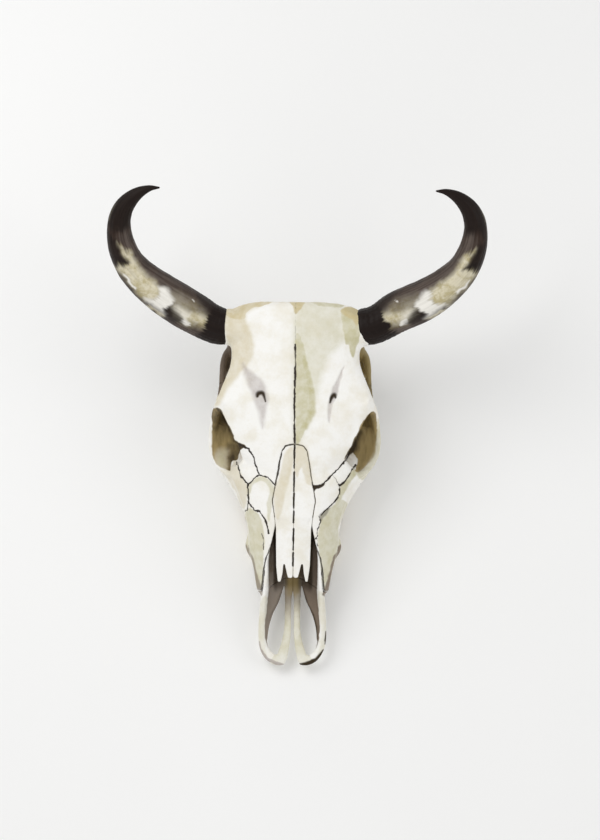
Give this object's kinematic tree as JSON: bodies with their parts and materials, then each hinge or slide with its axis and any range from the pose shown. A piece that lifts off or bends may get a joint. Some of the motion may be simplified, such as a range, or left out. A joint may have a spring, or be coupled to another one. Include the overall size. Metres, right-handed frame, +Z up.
{
  "type": "horned cattle skull",
  "caption": "Life-size horned cattle skull without its lower jaw, lying on its cheek teeth and jugular processes.",
  "frame": {"origin": "on the floor, under the middle of the bounding box", "axes": "+Y from the nose to the poll and the horn tips, which is up in the picture; +X to the animal's left, which is the picture's right; +Z up out of the forehead side"},
  "size_m": [0.523, 0.6038, 0.3083],
  "materials": {
    "bone": "dry chalky bone, cream white with tan and khaki stains",
    "horn": "satin dark brown horn with cream streaks"
  },
  "bodies": {
    "root": {"cranium": "bone", "nasal_left": "bone", "nasal_right": "bone", "incisive_left": "bone", "incisive_right": "bone", "horn_left": "horn", "horn_right": "horn"}
  },
  "joints": []
}
